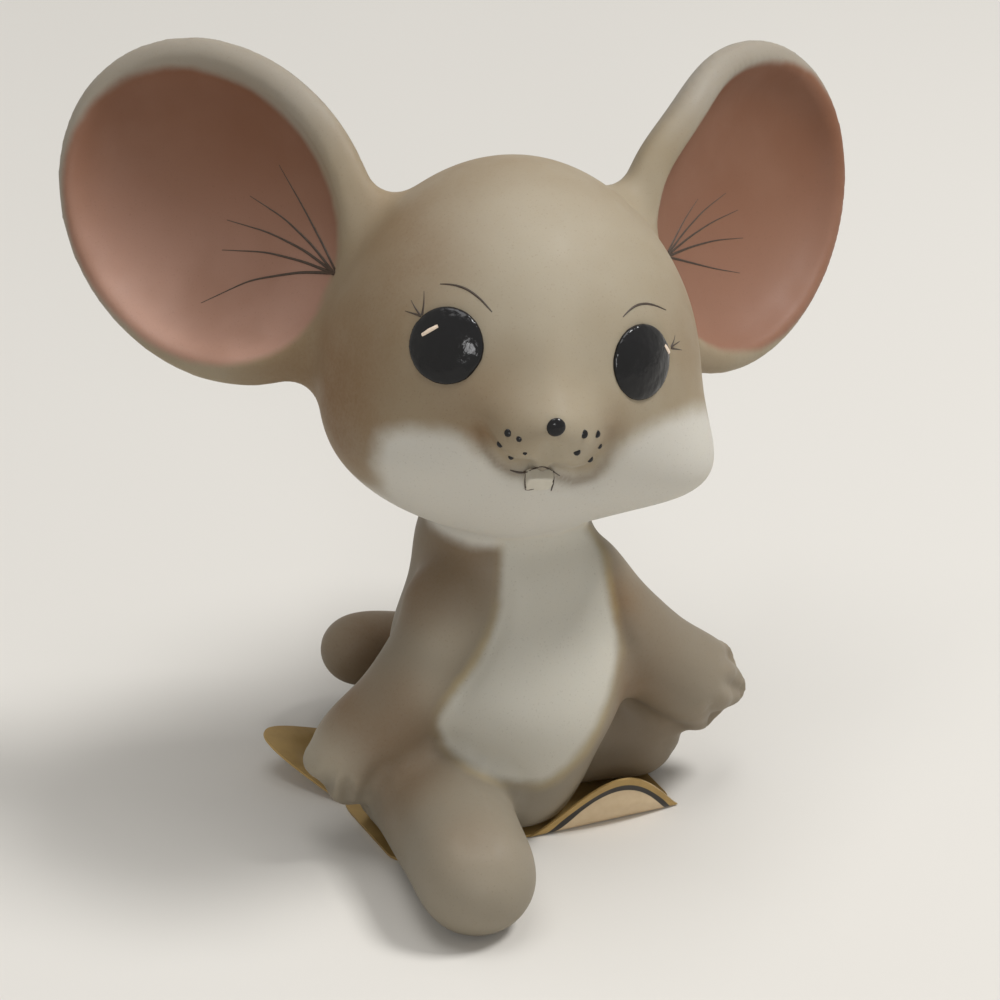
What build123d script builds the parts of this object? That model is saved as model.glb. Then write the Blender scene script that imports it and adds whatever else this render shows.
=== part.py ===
# Seated mouse figurine: cast bisque pieces stuck up with slip, enamel features, foil label under the base.
# Millimetres, +Z up, the mouse looks towards -Y and its left side is +X.
import os
from math import asin, cos, exp, pi, radians, sin, sqrt

from build123d import *

os.makedirs("parts", exist_ok=True)

# foil label under the base
label_thickness = 0.3
tab_lift = 72.0
tab_reach = 4.7
corner_lift = 14.0
corner_reach = 7.4

# torso
torso_height = 34.0
torso_width = 11.2
torso_depth = 12.6
neck_lean = 0.9
neck_back = 1.0
spigot_radius = 3.6
spigot_length = 6.0
spigot_clearance = 0.1

# head, set on its own tilted plane
head_lift = 14.5
head_centre = (0.9, -0.2, torso_height + head_lift)
head_pitch = -11.0
head_roll = 7.2
head_yaw = -9.7
head_width = 17.5
head_front = 16.2
head_back = 15.6
head_rise = 17.0
head_drop = 17.2
jowl_share = 0.13
muzzle_reach = 4.2
muzzle_level = -3.9
bridge_reach = 0.8
pad_reach = 0.6
chin_reach = 0.8
cheek_swell = 3.6
cheek_level = -10.4

# ears
ear_length = 17.6
ear_width = 14.5
right_ear_spread = 25.9
left_ear_spread = 24.3
ear_setback = 11.3
right_ear_level = 8.8
left_ear_level = 10.8
ear_turn = 33.0
ear_lift = 11.0
ear_lean = 52.0
ear_back = 6.0
ear_rim = 2.4
ear_dish = 4.8
ear_dish_share = 0.84
ear_dish_shift = 0.8

# eyes, nose, whisker dots, teeth
eye_radius = 3.42
eye_bulge = 0.9
eye_rim = -0.1
eye_root = 1.0
right_eye_offset = -9.3
left_eye_offset = 8.7
right_eye_level = 2.6
left_eye_level = 1.6
face_offset = -0.5
nose_radius = 0.85
nose_level = -2.8
nose_rim = 0.05
nose_bulge = 0.5
nose_root = 0.8
dot_radius = 0.34
dot_lift = 0.01
dot_height = 0.22
tooth_width = 2.5
tooth_height = 2.0
tooth_thickness = 1.2
tooth_level = -9.0

# limbs and tail
right_shoulder_drop = 6.4
right_elbow_drop = 13.2
left_shoulder_drop = 6.5
left_elbow_drop = 13.4
arm_root = 4.6
arm_waist = 4.3
hand_radius = 4.5
finger_radius = 2.0
leg_root = 6.6
leg_waist = 6.0
foot_radius = 5.6
short_leg = 0.92
tail_root = 4.2
tail_tip = 3.7


def oval(plane, wide, high):
    """One oval section on the plane."""
    with BuildSketch(plane, mode=Mode.PRIVATE) as section:
        Ellipse(wide, high)
    return section.sketch


def girth(along, root, waist, end):
    """Half-thickness of a limb: eases from root to waist and from waist to end."""
    first = along < 0.55
    part = along / 0.55 if first else (along - 0.55) / 0.45
    ease = (1 - cos(pi * part)) / 2
    return root + (waist - root) * ease if first else waist + (end - waist) * ease


def limb(points, root, waist, end):
    """A limb lofted through round sections along a curve, with its free end domed."""
    with BuildLine() as spine:
        Spline(points)
    path = spine.line.edges()[0]
    dome = end / path.length
    stations = [(k * (1 - dome), girth(k, root, waist, end)) for k in (0, 0.2, 0.4, 0.6, 0.8)]
    stations += [(1 - dome + dome * sin(radians(a)), end * cos(radians(a))) for a in (0, 24, 45, 64, 82)]
    sections = []
    for along, radius in stations:
        plane = Plane(origin=path @ along, x_dir=(path % along).cross(Vector(0, 0, 1)), z_dir=path % along)
        sections.append(oval(plane, radius, radius))
    with BuildPart() as form:
        loft(sections)
    return form.part


def cut_flat():
    """Takes away whatever reaches under the top of the label."""
    with Locations((0, 0, label_thickness)):
        Box(200, 200, 40, align=(Align.CENTER, Align.CENTER, Align.MAX), mode=Mode.SUBTRACT)


head_plane = Plane(Location(head_centre, (head_pitch, head_roll, head_yaw), Extrinsic.XYZ))


def swell(offset, spread):
    """A soft bump: one at the middle, fading with distance."""
    return exp(-((offset / spread) ** 2))


def head_point(turn, height):
    """A point of the head's skin, by turn from the face and height on the head's own axis."""
    share = height / (head_rise if height > 0 else head_drop)
    round_off = sqrt(max(0.0, 1 - share * share))
    cheek = cheek_swell * swell(abs(turn) - 1.05, 0.5) * swell(height - cheek_level, 5.4)
    deep = (head_front if cos(turn) > 0 else head_back) * round_off + cheek
    x = (head_width * round_off * (1 - jowl_share * share) + cheek) * sin(turn)
    y = -deep * cos(turn)
    if cos(turn) > 0:
        across = x - face_offset
        y -= muzzle_reach * swell(across, 5.0) * swell(height - muzzle_level, 3.6)
        y -= bridge_reach * swell(across, 2.6) * swell(height - muzzle_level - 4.9, 4.5)
        y -= pad_reach * swell(abs(across) - 3.0, 1.8) * swell(height - muzzle_level + 1.2, 2.0)
        y -= chin_reach * swell(across, 4.0) * swell(height - muzzle_level + 7.2, 2.6)
    return (x, y)


def head_section(height):
    """A closed section of the head, its points crowded towards the face."""
    turns = [2 * pi * k / 32 - pi for k in range(32)]
    with BuildSketch(head_plane.offset(height), mode=Mode.PRIVATE) as section:
        with BuildLine():
            Spline([head_point(t - 0.5 * sin(t), height) for t in turns], periodic=True)
        make_face()
    return section.sketch


head_steps = [-86 + 172 * k / 16 for k in range(17)]
head_heights = [sin(radians(a)) * (head_rise if a > 0 else head_drop) for a in head_steps]
with BuildPart() as head_form:
    loft([head_section(height) for height in head_heights])


def skin_plane(x, z):
    """The plane that touches the face at a width and level, facing out."""
    start = head_plane.from_local_coords(Vector(x, -60, z))
    hits = head_form.part.find_intersection_points(Axis(start, head_plane.y_dir))
    spot, normal = min(hits, key=lambda hit: (hit[0] - start).length)
    outward = normal if normal.dot(head_plane.y_dir) < 0 else normal * -1
    return Plane(origin=spot, x_dir=head_plane.x_dir, z_dir=outward)


def enamel_dome(plane, radius, rim, bulge, root):
    """A domed button of enamel: a round root let into the face, its rim at the skin and a cap above it."""
    bend = (radius ** 2 + bulge ** 2) / (2 * bulge)
    half = asin(radius / bend) / 2
    middle = (bend * sin(half), rim + bulge - bend + bend * cos(half))
    side = Plane(origin=plane.origin, x_dir=plane.x_dir, z_dir=plane.x_dir.cross(plane.z_dir))
    with BuildSketch(side, mode=Mode.PRIVATE) as profile:
        with BuildLine():
            Polyline((0, rim + bulge), (0, -root), (radius, -root), (radius, rim))
            ThreePointArc((radius, rim), middle, (0, rim + bulge))
        make_face()
    with BuildPart() as form:
        revolve(profile.sketch, axis=Axis(plane.origin, plane.z_dir))
    return form.part


with BuildPart() as right_eye:
    right_eye_plane = skin_plane(right_eye_offset, right_eye_level)
    add(enamel_dome(right_eye_plane, eye_radius, eye_rim, eye_bulge, eye_root))
right_eye.part.label = "right_eye"
export_step(right_eye.part, "parts/right_eye.step")

with BuildPart() as left_eye:
    left_eye_plane = skin_plane(left_eye_offset, left_eye_level)
    add(enamel_dome(left_eye_plane, eye_radius, eye_rim, eye_bulge, eye_root))
left_eye.part.label = "left_eye"
export_step(left_eye.part, "parts/left_eye.step")

with BuildPart() as nose:
    nose_plane = skin_plane(face_offset, nose_level)
    add(enamel_dome(nose_plane, nose_radius, nose_rim, nose_bulge, nose_root))
nose.part.label = "nose"
export_step(nose.part, "parts/nose.step")

tooth_plane = skin_plane(face_offset / 2, tooth_level)
with BuildPart() as front_teeth:
    with BuildSketch(tooth_plane):
        RectangleRounded(tooth_width, tooth_height, tooth_width / 5)
    extrude(amount=tooth_thickness / 2, both=True)
front_teeth.part.label = "front_teeth"
export_step(front_teeth.part, "parts/front_teeth.step")

upright = (Align.CENTER, Align.CENTER, Align.MIN)
dot_places = [(2.3, 0.0), (3.5, 0.1), (3.8, -1.0), (2.5, -1.6), (3.2, -2.4)]
with BuildPart() as whisker_dots:
    for side in (-1, 1):
        for across, below in dot_places:
            spot = skin_plane(side * across, muzzle_level + below)
            with Locations(spot.offset(dot_lift).location):
                Cone(dot_radius, 0.7 * dot_radius, dot_height, align=upright)
whisker_dots.part.label = "whisker_dots"
export_step(whisker_dots.part, "parts/whisker_dots.step")

# torso: a pear lofted through flat ovals, each with its height, width and depth shares and shift back,
# and a spigot that goes up into the head
torso_levels = [
    (0.00, 0.62, 0.74, 1.2),
    (0.07, 0.67, 0.82, 0.8),
    (0.16, 0.74, 0.90, 0.2),
    (0.31, 0.90, 0.98, -0.7),
    (0.46, 1.00, 1.00, -0.9),
    (0.57, 0.92, 0.90, -0.3),
    (0.69, 0.80, 0.77, 0.4),
    (0.84, 0.74, 0.67, 0.8),
    (1.06, 0.72, 0.62, 1.0),
]
neck_seat = Plane(origin=(neck_lean, neck_back, torso_height - spigot_length / 2))
torso_rings = []
for share, wide, deep, shift in torso_levels:
    ring_plane = Plane(origin=(neck_lean * share, shift, label_thickness + share * torso_height))
    torso_rings.append(oval(ring_plane, wide * torso_width, deep * torso_depth))
with BuildPart() as torso_form:
    loft(torso_rings)
with BuildPart() as torso:
    add(torso_form.part)
    add(head_form.part, mode=Mode.SUBTRACT)
    with BuildSketch(neck_seat):
        Circle(spigot_radius)
    extrude(amount=spigot_length * 1.5)
torso.part.label = "torso"
export_step(torso.part, "parts/torso.step")

with BuildPart() as head:
    add(head_form.part)
    for piece in (right_eye, left_eye, nose, front_teeth):
        add(piece.part, mode=Mode.SUBTRACT)
    with BuildSketch(neck_seat):
        Circle(spigot_radius + spigot_clearance)
    extrude(amount=spigot_length * 1.5 + spigot_clearance, mode=Mode.SUBTRACT)
head.part.label = "head"
export_step(head.part, "parts/head.step")


def half_egg(low, high, share, deep):
    """An egg, or half of one, with the ear's oval outline."""
    with BuildPart() as form:
        Sphere(1, arc_size1=low, arc_size2=high, align=None)
        scale(by=(ear_length * share, ear_width * share, deep))
    return form.part


def ear_form(side, spread, level):
    """A dished oval ear on its own plane beside the head."""
    turn = radians(ear_turn)
    lift = radians(ear_lift)
    lean = radians(ear_lean)
    facing = Vector(side * sin(turn) * cos(lift), -cos(turn) * cos(lift), sin(lift))
    outward = Vector(side * cos(turn), sin(turn), 0)
    upward = Vector(-side * sin(turn) * sin(lift), cos(turn) * sin(lift), cos(lift))
    long_way = upward * cos(lean) + outward * sin(lean)
    at = Vector(side * spread, ear_setback, level)
    seat = Plane(origin=at, x_dir=long_way, z_dir=facing)
    plane = Plane(head_plane.location * seat.location)
    dish_rise = ear_rim * sqrt(1 - ear_dish_share ** 2)
    mouth = Plane(at + outward * ear_dish_shift + facing * dish_rise, long_way, facing)
    dish = Plane(head_plane.location * mouth.location)
    with BuildPart() as form:
        add(half_egg(-90, 0, 1.0, ear_back).moved(plane.location))
        add(half_egg(0, 90, 1.0, ear_rim).moved(plane.location))
        add(half_egg(-90, 90, ear_dish_share, ear_dish).moved(dish.location), mode=Mode.SUBTRACT)
    return form.part


with BuildPart() as right_ear:
    add(ear_form(-1, right_ear_spread, right_ear_level))
    add(head_form.part, mode=Mode.SUBTRACT)
right_ear.part.label = "right_ear"
export_step(right_ear.part, "parts/right_ear.step")

with BuildPart() as left_ear:
    add(ear_form(1, left_ear_spread, left_ear_level))
    add(head_form.part, mode=Mode.SUBTRACT)
left_ear.part.label = "left_ear"
export_step(left_ear.part, "parts/left_ear.step")

# arms from the shoulders down to the hands, each with three finger bumps
right_arm_line = [
    (-2.6, -0.6, torso_height - right_shoulder_drop),
    (-8.2, -4.6, torso_height - right_elbow_drop),
    (-12.0, -4.4, 14.8),
    (-16.6, -3.4, 9.4),
    (-18.6, -3.4, 7.0),
]
left_arm_line = [
    (3.2, -0.4, torso_height - left_shoulder_drop),
    (9.2, -4.2, torso_height - left_elbow_drop),
    (13.8, -5.2, 15.2),
    (18.8, -5.0, 11.0),
    (21.8, -4.6, 9.4),
]
right_arm_shape = limb(right_arm_line, arm_root, arm_waist, hand_radius)
left_arm_shape = limb(left_arm_line, arm_root, arm_waist, hand_radius)

with BuildPart() as right_arm:
    add(right_arm_shape)
    with Locations((-18.8, -1.9, 9.0), (-17.2, -3.8, 6.8), (-14.8, -3.8, 7.4)):
        Sphere(finger_radius)
    add(torso_form.part, mode=Mode.SUBTRACT)
    add(head_form.part, mode=Mode.SUBTRACT)
right_arm.part.label = "right_arm"
export_step(right_arm.part, "parts/right_arm.step")

with BuildPart() as left_arm:
    add(left_arm_shape)
    with Locations((21.0, -3.8, 12.2), (21.8, -5.0, 9.6), (18.4, -5.4, 7.8)):
        Sphere(finger_radius)
    add(torso_form.part, mode=Mode.SUBTRACT)
    add(head_form.part, mode=Mode.SUBTRACT)
left_arm.part.label = "left_arm"
export_step(left_arm.part, "parts/left_arm.step")

# legs: the right one stretched out in front, the left one out to the side
right_leg_line = [(-8.6, 0.5, 5.0), (-9.4, -10.5, 5.0), (-11.2, -25.5, 5.0)]
left_leg_line = [(3.0, 1.5, 5.2), (9.5, 0.4, 4.9), (18.2, -2.4, 4.3)]
right_leg_shape = limb(right_leg_line, leg_root, leg_waist, foot_radius)
left_leg_shape = limb(left_leg_line, leg_root * short_leg, leg_waist * short_leg, foot_radius * short_leg)

with BuildPart() as right_leg:
    add(right_leg_shape)
    cut_flat()
    add(torso_form.part, mode=Mode.SUBTRACT)
    add(right_arm.part, mode=Mode.SUBTRACT)
right_leg.part.label = "right_leg"
export_step(right_leg.part, "parts/right_leg.step")

with BuildPart() as left_leg:
    add(left_leg_shape)
    cut_flat()
    add(torso_form.part, mode=Mode.SUBTRACT)
    add(left_arm.part, mode=Mode.SUBTRACT)
    add(right_leg.part, mode=Mode.SUBTRACT)
left_leg.part.label = "left_leg"
export_step(left_leg.part, "parts/left_leg.step")

tail_line = [(3.2, 5.0, 5.8), (3.0, 13.5, 5.4), (-3.6, 18.0, 6.8), (-10.8, 15.5, 9.2)]
tail_shape = limb(tail_line, tail_root, tail_root, tail_tip)
with BuildPart() as tail:
    add(tail_shape)
    cut_flat()
    add(torso_form.part, mode=Mode.SUBTRACT)
    add(left_leg.part, mode=Mode.SUBTRACT)
    add(right_leg.part, mode=Mode.SUBTRACT)
tail.part.label = "tail"
export_step(tail.part, "parts/tail.step")

# the label: a flat sheet with a tab of its front edge and one back corner lifted off the floor
label_outline = [(-14.0, -8.8), (14.8, -8.8), (13.0, 14.5), (-9.5, 15.5), (-15.2, 3.5)]


def lifted_tab(start, stop, reach, lift):
    """A rounded tab of the sheet, turned up about the line from start to stop."""
    line = Vector(*stop, 0) - Vector(*start, 0)
    rise = radians(lift)
    out = Vector(0, 0, 1).cross(line).normalized() * -1
    middle = (Vector(*start, 0) + Vector(*stop, 0)) * 0.5
    up_slope = out * cos(rise) + Vector(0, 0, 1) * sin(rise)
    plane = Plane(origin=middle, x_dir=line, z_dir=line.cross(up_slope))
    half = line.length / 2
    with BuildPart() as tab:
        with BuildSketch(plane):
            with BuildLine():
                ThreePointArc((half, 0), (0, reach), (-half, 0))
                Line((-half, 0), (half, 0))
            make_face()
        extrude(amount=-label_thickness)
    return tab.part


with BuildPart() as base_label:
    with BuildSketch():
        with BuildLine():
            Polyline(*label_outline, close=True)
        make_face()
    extrude(amount=label_thickness)
    add(lifted_tab((0.2, -8.8), label_outline[1], tab_reach, tab_lift))
    add(lifted_tab(label_outline[3], label_outline[4], corner_reach, corner_lift))
base_label.part.label = "base_label"
export_step(base_label.part, "parts/base_label.step")
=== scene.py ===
import math

import bpy
import numpy as np
from mathutils import Euler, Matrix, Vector
from mathutils.bvhtree import BVHTree


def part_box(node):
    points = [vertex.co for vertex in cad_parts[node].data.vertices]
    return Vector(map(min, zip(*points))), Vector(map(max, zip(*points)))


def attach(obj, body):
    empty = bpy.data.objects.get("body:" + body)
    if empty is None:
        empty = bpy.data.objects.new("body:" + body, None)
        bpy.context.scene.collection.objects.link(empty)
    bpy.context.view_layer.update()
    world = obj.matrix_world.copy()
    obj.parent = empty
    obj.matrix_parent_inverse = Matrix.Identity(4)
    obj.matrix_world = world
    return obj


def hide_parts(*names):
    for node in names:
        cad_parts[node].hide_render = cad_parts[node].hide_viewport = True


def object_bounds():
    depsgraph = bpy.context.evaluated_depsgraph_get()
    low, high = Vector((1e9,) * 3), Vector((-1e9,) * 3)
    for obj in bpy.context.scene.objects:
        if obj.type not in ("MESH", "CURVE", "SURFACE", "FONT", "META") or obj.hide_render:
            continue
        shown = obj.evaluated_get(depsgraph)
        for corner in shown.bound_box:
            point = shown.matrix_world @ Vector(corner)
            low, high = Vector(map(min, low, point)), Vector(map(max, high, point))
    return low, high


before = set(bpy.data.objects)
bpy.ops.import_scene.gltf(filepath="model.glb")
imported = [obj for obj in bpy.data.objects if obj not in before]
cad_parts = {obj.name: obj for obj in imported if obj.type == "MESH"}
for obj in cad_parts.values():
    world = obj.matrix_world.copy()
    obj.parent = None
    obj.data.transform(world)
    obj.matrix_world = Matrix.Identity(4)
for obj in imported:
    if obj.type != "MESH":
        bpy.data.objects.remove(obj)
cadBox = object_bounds()
scene = bpy.context.scene
scene.view_settings.view_transform = "Standard"
mm = 0.001
mergeGap = 1e-6  # points closer than this are one, metres
farAway = 1e9  # where a search for the nearest edge starts
print("frame loaded:", len(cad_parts), "nodes")

# camera at the photograph's angle
photoCamera = {
    "azimuth": -22.0,
    "elevation": 28.0,
    "distance": 0.350,
    "target": (0.0, 0.0, 0.032),
    "lens": 134.8,
    "sensor": 36.0,
    "imageSide": 1000,
    "nearLimit": 0.01,
}
turnAngle = math.radians(photoCamera["azimuth"])
riseAngle = math.radians(photoCamera["elevation"])
cameraBack = Vector((
    math.sin(turnAngle) * math.cos(riseAngle),
    -math.cos(turnAngle) * math.cos(riseAngle),
    math.sin(riseAngle),
))
cameraPlace = Vector(photoCamera["target"]) + cameraBack * photoCamera["distance"]
bpy.ops.object.camera_add(location=cameraPlace)
camera = bpy.context.object
camera.name = "photoCamera"
camera.rotation_mode = "QUATERNION"
camera.rotation_quaternion = (-cameraBack).to_track_quat("-Z", "Y")
camera.data.lens = photoCamera["lens"]
camera.data.sensor_width = photoCamera["sensor"]
camera.data.clip_start = photoCamera["nearLimit"]
scene.camera = camera
cameraTurn = camera.rotation_quaternion.to_matrix()
cameraRight, cameraUp = cameraTurn.col[0], cameraTurn.col[1]
focalPixels = photoCamera["lens"] / photoCamera["sensor"] * photoCamera["imageSide"]
halfSide = photoCamera["imageSide"] / 2
pixelSize = photoCamera["distance"] / focalPixels  # metres a pixel covers at the figurine


def pixelRay(across, down):
    sideways = cameraRight * ((across - halfSide) / focalPixels)
    upward = cameraUp * ((halfSide - down) / focalPixels)
    return (sideways + upward - cameraBack).normalized()


def toPixels(points):
    away = points - np.array(cameraPlace)
    depth = -(away @ np.array(cameraBack))
    across = halfSide + focalPixels * (away @ np.array(cameraRight)) / depth
    down = halfSide - focalPixels * (away @ np.array(cameraUp)) / depth
    return np.stack([across, down], axis=1)


# helpers that act on one selected piece
def wake(piece):
    bpy.ops.object.select_all(action="DESELECT")
    piece.select_set(True)
    bpy.context.view_layer.objects.active = piece


def copyNodes(nodeNames, pieceName):
    bpy.ops.object.select_all(action="DESELECT")
    for nodeName in nodeNames:
        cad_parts[nodeName].select_set(True)
    bpy.context.view_layer.objects.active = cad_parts[nodeNames[0]]
    bpy.ops.object.duplicate()
    if len(nodeNames) > 1:
        bpy.ops.object.join()
    piece = bpy.context.object
    piece.name = pieceName
    piece.data.name = pieceName
    piece.parent = None
    for key in [k for k in piece.keys() if k.startswith("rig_")]:
        del piece[key]  # the copy is a new piece, not a node
    piece.data.materials.clear()
    bpy.ops.object.mode_set(mode="EDIT")
    bpy.ops.mesh.select_all(action="SELECT")
    bpy.ops.mesh.remove_doubles(threshold=mergeGap)
    bpy.ops.object.mode_set(mode="OBJECT")
    return piece


def joinInto(piece, others):
    wake(piece)
    for other in others:
        other.select_set(True)
    bpy.ops.object.join()


def applyModifier(piece, kind, **values):
    wake(piece)
    modifier = piece.modifiers.new(kind.lower(), kind)
    for key, value in values.items():
        setattr(modifier, key, value)
    bpy.ops.object.modifier_apply(modifier=modifier.name)


def soften(piece, rounds):
    applyModifier(piece, "SMOOTH", factor=0.5, iterations=rounds)


def remesh(piece, voxel):
    applyModifier(piece, "REMESH", mode="VOXEL", voxel_size=voxel * mm)


def fillCreases(piece, reach, voxel, rounds=3):
    # swell, melt together, shrink back
    applyModifier(piece, "DISPLACE", mid_level=0.0, strength=reach * mm)
    remesh(piece, voxel)
    applyModifier(piece, "DISPLACE", mid_level=0.0, strength=-reach * mm)
    soften(piece, rounds)


def keepLargest(piece):
    wake(piece)
    bpy.ops.object.mode_set(mode="EDIT")
    bpy.ops.mesh.select_all(action="SELECT")
    bpy.ops.mesh.separate(type="LOOSE")
    bpy.ops.object.mode_set(mode="OBJECT")
    shells = sorted(bpy.context.selected_objects, key=lambda s: len(s.data.vertices))
    for shell in shells[:-1]:
        bpy.data.objects.remove(shell)
    return shells[-1]


def settle(piece, slotName, *nodeNames):
    wake(piece)
    bpy.ops.object.shade_smooth()
    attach(piece, "root")
    if nodeNames:
        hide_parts(*nodeNames)


# cast skin: every cast piece melted together at its slip seams
castSkin = {
    "core": ["head", "torso", "right_ear", "left_ear"],
    "limbs": ["right_arm", "left_arm", "right_leg", "left_leg", "tail"],
    "plugs": {"right_eye": 0.75, "left_eye": 0.75, "nose": 0.5, "front_teeth": 0.3},
    "coreVoxel": 0.45,
    "coreFillet": 1.8,
    "voxel": 0.42,
    "fillet": 1.0,
    "soften": 2,
    "lastSoften": 4,
    "toolBack": 6.0,  # tools press nothing behind this, millimetres back
}
headPose = {"centre": (0.9, -0.2, 48.5), "pitch": -11.0, "roll": 7.2, "yaw": -9.7}
headCentre = Vector(headPose["centre"]) * mm
skin = copyNodes(castSkin["core"], "castSkin")
plugs = []
for nodeName, depth in castSkin["plugs"].items():
    plug = copyNodes([nodeName], nodeName + "Plug")
    low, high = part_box(nodeName)
    inward = (headCentre - (low + high) / 2).normalized()
    wake(plug)
    bpy.ops.transform.translate(value=inward * depth * mm)
    bpy.ops.object.transform_apply(location=True, rotation=False, scale=False)
    plugs.append(plug)
joinInto(skin, plugs)
remesh(skin, castSkin["coreVoxel"])
soften(skin, castSkin["soften"])
fillCreases(skin, castSkin["coreFillet"], castSkin["coreVoxel"])
joinInto(skin, [copyNodes(castSkin["limbs"], "limbCopy")])
remesh(skin, castSkin["voxel"])
soften(skin, castSkin["soften"])
fillCreases(skin, castSkin["fillet"], castSkin["voxel"])
remesh(skin, castSkin["voxel"])  # swallows the folds left by shrinking back
soften(skin, castSkin["lastSoften"])
skin = keepLargest(skin)
skin.name = "castSkin"
skin.data.name = "castSkin"
print("cast skin:", len(skin.data.polygons), "faces")


def readPoints():
    points = np.zeros(len(skin.data.vertices) * 3)
    outs = np.zeros(len(skin.data.vertices) * 3)
    skin.data.vertices.foreach_get("co", points)
    skin.data.vertices.foreach_get("normal", outs)
    return points.reshape(-1, 3), outs.reshape(-1, 3)


def pathDistance(points, path):
    nearest = np.full(len(points), farAway)
    share = np.zeros(len(points))
    for step, (start, stop) in enumerate(zip(path, path[1:])):
        edge = np.array(stop, float) - np.array(start, float)
        offset = points - np.array(start, float)
        along = np.clip(offset @ edge / (edge @ edge), 0, 1)
        gap = np.linalg.norm(offset - along[:, None] * edge, axis=1)
        share = np.where(gap < nearest, (step + along) / (len(path) - 1), share)
        nearest = np.minimum(nearest, gap)
    return nearest * pixelSize / mm, share


def pressDepth(points, path, spread, fades):
    gap, share = pathDistance(points, path)
    fade = np.ones(len(points))
    if fades[0]:
        fade *= np.clip(share / fades[0], 0, 1)
    if fades[1]:
        fade *= np.clip((1 - share) / fades[1], 0, 1)
    return np.exp(-(gap / spread) ** 2) * fade


# thumb pushes of the wet cast: pixel, radius in millimetres, push right, up and near in millimetres
thumbPushes = {
    "rightCheek": ((334, 440), 6.5, (1.35, 0.35, 0.0)),
    "rightJaw": ((356, 482), 5.0, (0.35, 0.35, 0.0)),
    "leftCheek": ((694, 468), 5.5, (1.0, -0.75, 0.0)),
    "leftEarTop": ((680, 100), 6.5, (1.15, -0.65, 0.0)),
    "chin": ((508, 524), 6.0, (0.0, -0.9, 0.0)),
    "rightPad": ((509, 448), 2.5, (-0.15, 0.0, 0.75)),
    "leftPad": ((584, 450), 2.5, (0.15, 0.0, 0.75)),
}


def thumbPush(points):
    tree = BVHTree.FromObject(skin, bpy.context.evaluated_depsgraph_get())
    moved = points.copy()
    for pixel, radius, (right, up, near) in thumbPushes.values():
        place = tree.ray_cast(cameraPlace, pixelRay(*pixel))[0]
        gap = np.linalg.norm(points - np.array(place), axis=1) / mm
        push = np.array(cameraRight * right + cameraUp * up + cameraBack * near) * mm
        moved += np.exp(-(gap / radius) ** 2)[:, None] * push
    return moved


# tooled lines in the wet clay: pixel path, depth and half-width in millimetres, fade at each end
muzzleLines = {
    "rightCrease": (
        [(476, 416), (479, 432), (485, 449), (497, 464), (513, 473), (530, 474)], 1.25, 1.0, (0.35, 0.0)),
    "lip": ([(530, 474), (543, 470), (556, 477)], 0.60, 0.80, (0.0, 0.0)),
    "leftCrease": (
        [(556, 477), (574, 482), (593, 477), (606, 463), (612, 446), (613, 424)], 1.15, 1.0, (0.0, 0.45)),
}
bodyLines = {
    "underNose": ([(556, 440), (551, 452), (546, 466)], 0.60, 1.2, (0.5, 0.0)),
    "rightArm": ([(500, 560), (501, 590), (496, 627), (466, 680), (440, 718)], 0.40, 1.1, (0.3, 0.2)),
    "rightThigh": ([(440, 730), (455, 750), (483, 772), (530, 786), (556, 782)], 0.40, 1.2, (0.4, 0.4)),
    "leftArm": ([(606, 580), (616, 613), (626, 640), (622, 665)], 0.40, 0.9, (0.3, 0.3)),
    "rightFingers": ([(346, 800), (346, 784), (350, 768)], 0.75, 0.75, (0.0, 0.6)),
    "rightOuterFingers": ([(326, 786), (330, 772), (336, 760)], 0.55, 0.70, (0.0, 0.6)),
    "rightHandEdge": ([(366, 800), (374, 784), (384, 770), (402, 764)], 0.70, 1.0, (0.0, 0.5)),
    "leftLowFingers": ([(716, 722), (714, 708), (706, 700)], 0.75, 0.75, (0.0, 0.6)),
    "leftFingers": ([(744, 690), (732, 684), (720, 681)], 0.75, 0.75, (0.0, 0.6)),
    "leftHighFingers": ([(740, 650), (730, 657), (720, 660)], 0.60, 0.75, (0.0, 0.6)),
    "rightFoot": ([(452, 838), (474, 846), (498, 840)], 0.20, 1.2, (0.3, 0.3)),
    "leftFoot": ([(662, 738), (668, 746), (672, 756)], 0.30, 0.9, (0.3, 0.3)),
}
toolLines = [*muzzleLines.values(), *bodyLines.values()]
points, outs = readPoints()
points = thumbPush(points)
seen = outs @ np.array(cameraBack) > 0.0
onPhoto = toPixels(points)
pressed = np.zeros(len(points))
for path, depth, spread, fades in toolLines:
    pressed = np.maximum(pressed, depth * pressDepth(onPhoto, path, spread, fades))
points -= outs * (pressed * seen * (points[:, 1] < castSkin["toolBack"] * mm))[:, None] * mm
skin.data.vertices.foreach_set("co", points.ravel())
skin.data.update()
soften(skin, castSkin["soften"])

skinTree = BVHTree.FromObject(skin, bpy.context.evaluated_depsgraph_get())


def spotOnSkin(across, down):
    place, normal, _, _ = skinTree.ray_cast(cameraPlace, pixelRay(across, down))
    return place, normal


# paint masks, kept on the skin as attributes
def roundOff(outline, rounds=3):
    near, far = 0.75, 0.25  # cuts each corner at its quarters
    for _ in range(rounds):
        cut = []
        for start, stop in zip(outline, outline[1:] + outline[:1]):
            cut.append((near * start[0] + far * stop[0], near * start[1] + far * stop[1]))
            cut.append((far * start[0] + near * stop[0], far * start[1] + near * stop[1]))
        outline = cut
    return outline


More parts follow.
